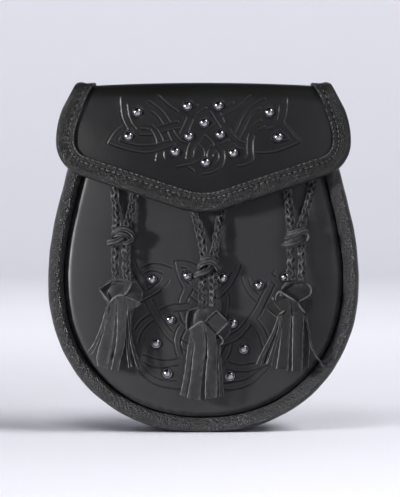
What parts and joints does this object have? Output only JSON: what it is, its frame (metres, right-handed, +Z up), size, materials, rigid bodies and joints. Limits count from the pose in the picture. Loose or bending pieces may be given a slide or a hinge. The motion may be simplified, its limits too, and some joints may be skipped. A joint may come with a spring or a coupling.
{
  "type": "leather sporran pouch",
  "caption": "Black leather day sporran pouch with a studded, knotwork-embossed front and flap, a padded rolled rim, and braided tassels on thongs.",
  "frame": {"origin": "middle of the flat stretch that the pouch stands on, under the side wall", "axes": "+Z up through the flap's fold, front faces -Y, +X to the right as seen from the front"},
  "size_m": [0.18, 0.056, 0.2011],
  "materials": {
    "panel_leather": "smooth, low sheen, embossed",
    "soft_leather": "soft grained, dull",
    "thong_leather": "matt, cut edges a little lighter",
    "chrome_stud": "polished",
    "press_stud_metal": "plain"
  },
  "bodies": {
    "root": {"back_panel": "panel_leather", "belt_loop_left": "panel_leather", "belt_loop_right": "panel_leather", "flap": "panel_leather", "flap_binding": "soft_leather", "front_panel": "panel_leather", "gusset": "soft_leather", "knot_centre": "thong_leather", "knot_left": "thong_leather", "knot_right": "thong_leather", "press_stud": "press_stud_metal", "rim_roll": "soft_leather", "stud_flap_01": "chrome_stud", "stud_flap_02": "chrome_stud", "stud_flap_03": "chrome_stud", "stud_flap_04": "chrome_stud", "stud_flap_05": "chrome_stud", "stud_flap_06": "chrome_stud", "stud_flap_07": "chrome_stud", "stud_flap_08": "chrome_stud", "stud_flap_09": "chrome_stud", "stud_flap_10": "chrome_stud", "stud_flap_11": "chrome_stud", "stud_flap_12": "chrome_stud", "stud_front_01": "chrome_stud", "stud_front_02": "chrome_stud", "stud_front_03": "chrome_stud", "stud_front_04": "chrome_stud", "stud_front_05": "chrome_stud", "stud_front_06": "chrome_stud", "stud_front_07": "chrome_stud", "stud_front_08": "chrome_stud", "stud_front_09": "chrome_stud", "stud_front_10": "chrome_stud", "stud_front_11": "chrome_stud", "tassel_centre": "thong_leather", "tassel_left": "thong_leather", "tassel_right": "thong_leather", "thong_bar": "soft_leather", "thong_centre_a": "thong_leather", "thong_centre_b": "thong_leather", "thong_left_a": "thong_leather", "thong_left_b": "thong_leather", "thong_right_a": "thong_leather", "thong_right_b": "thong_leather"}
  },
  "joints": []
}
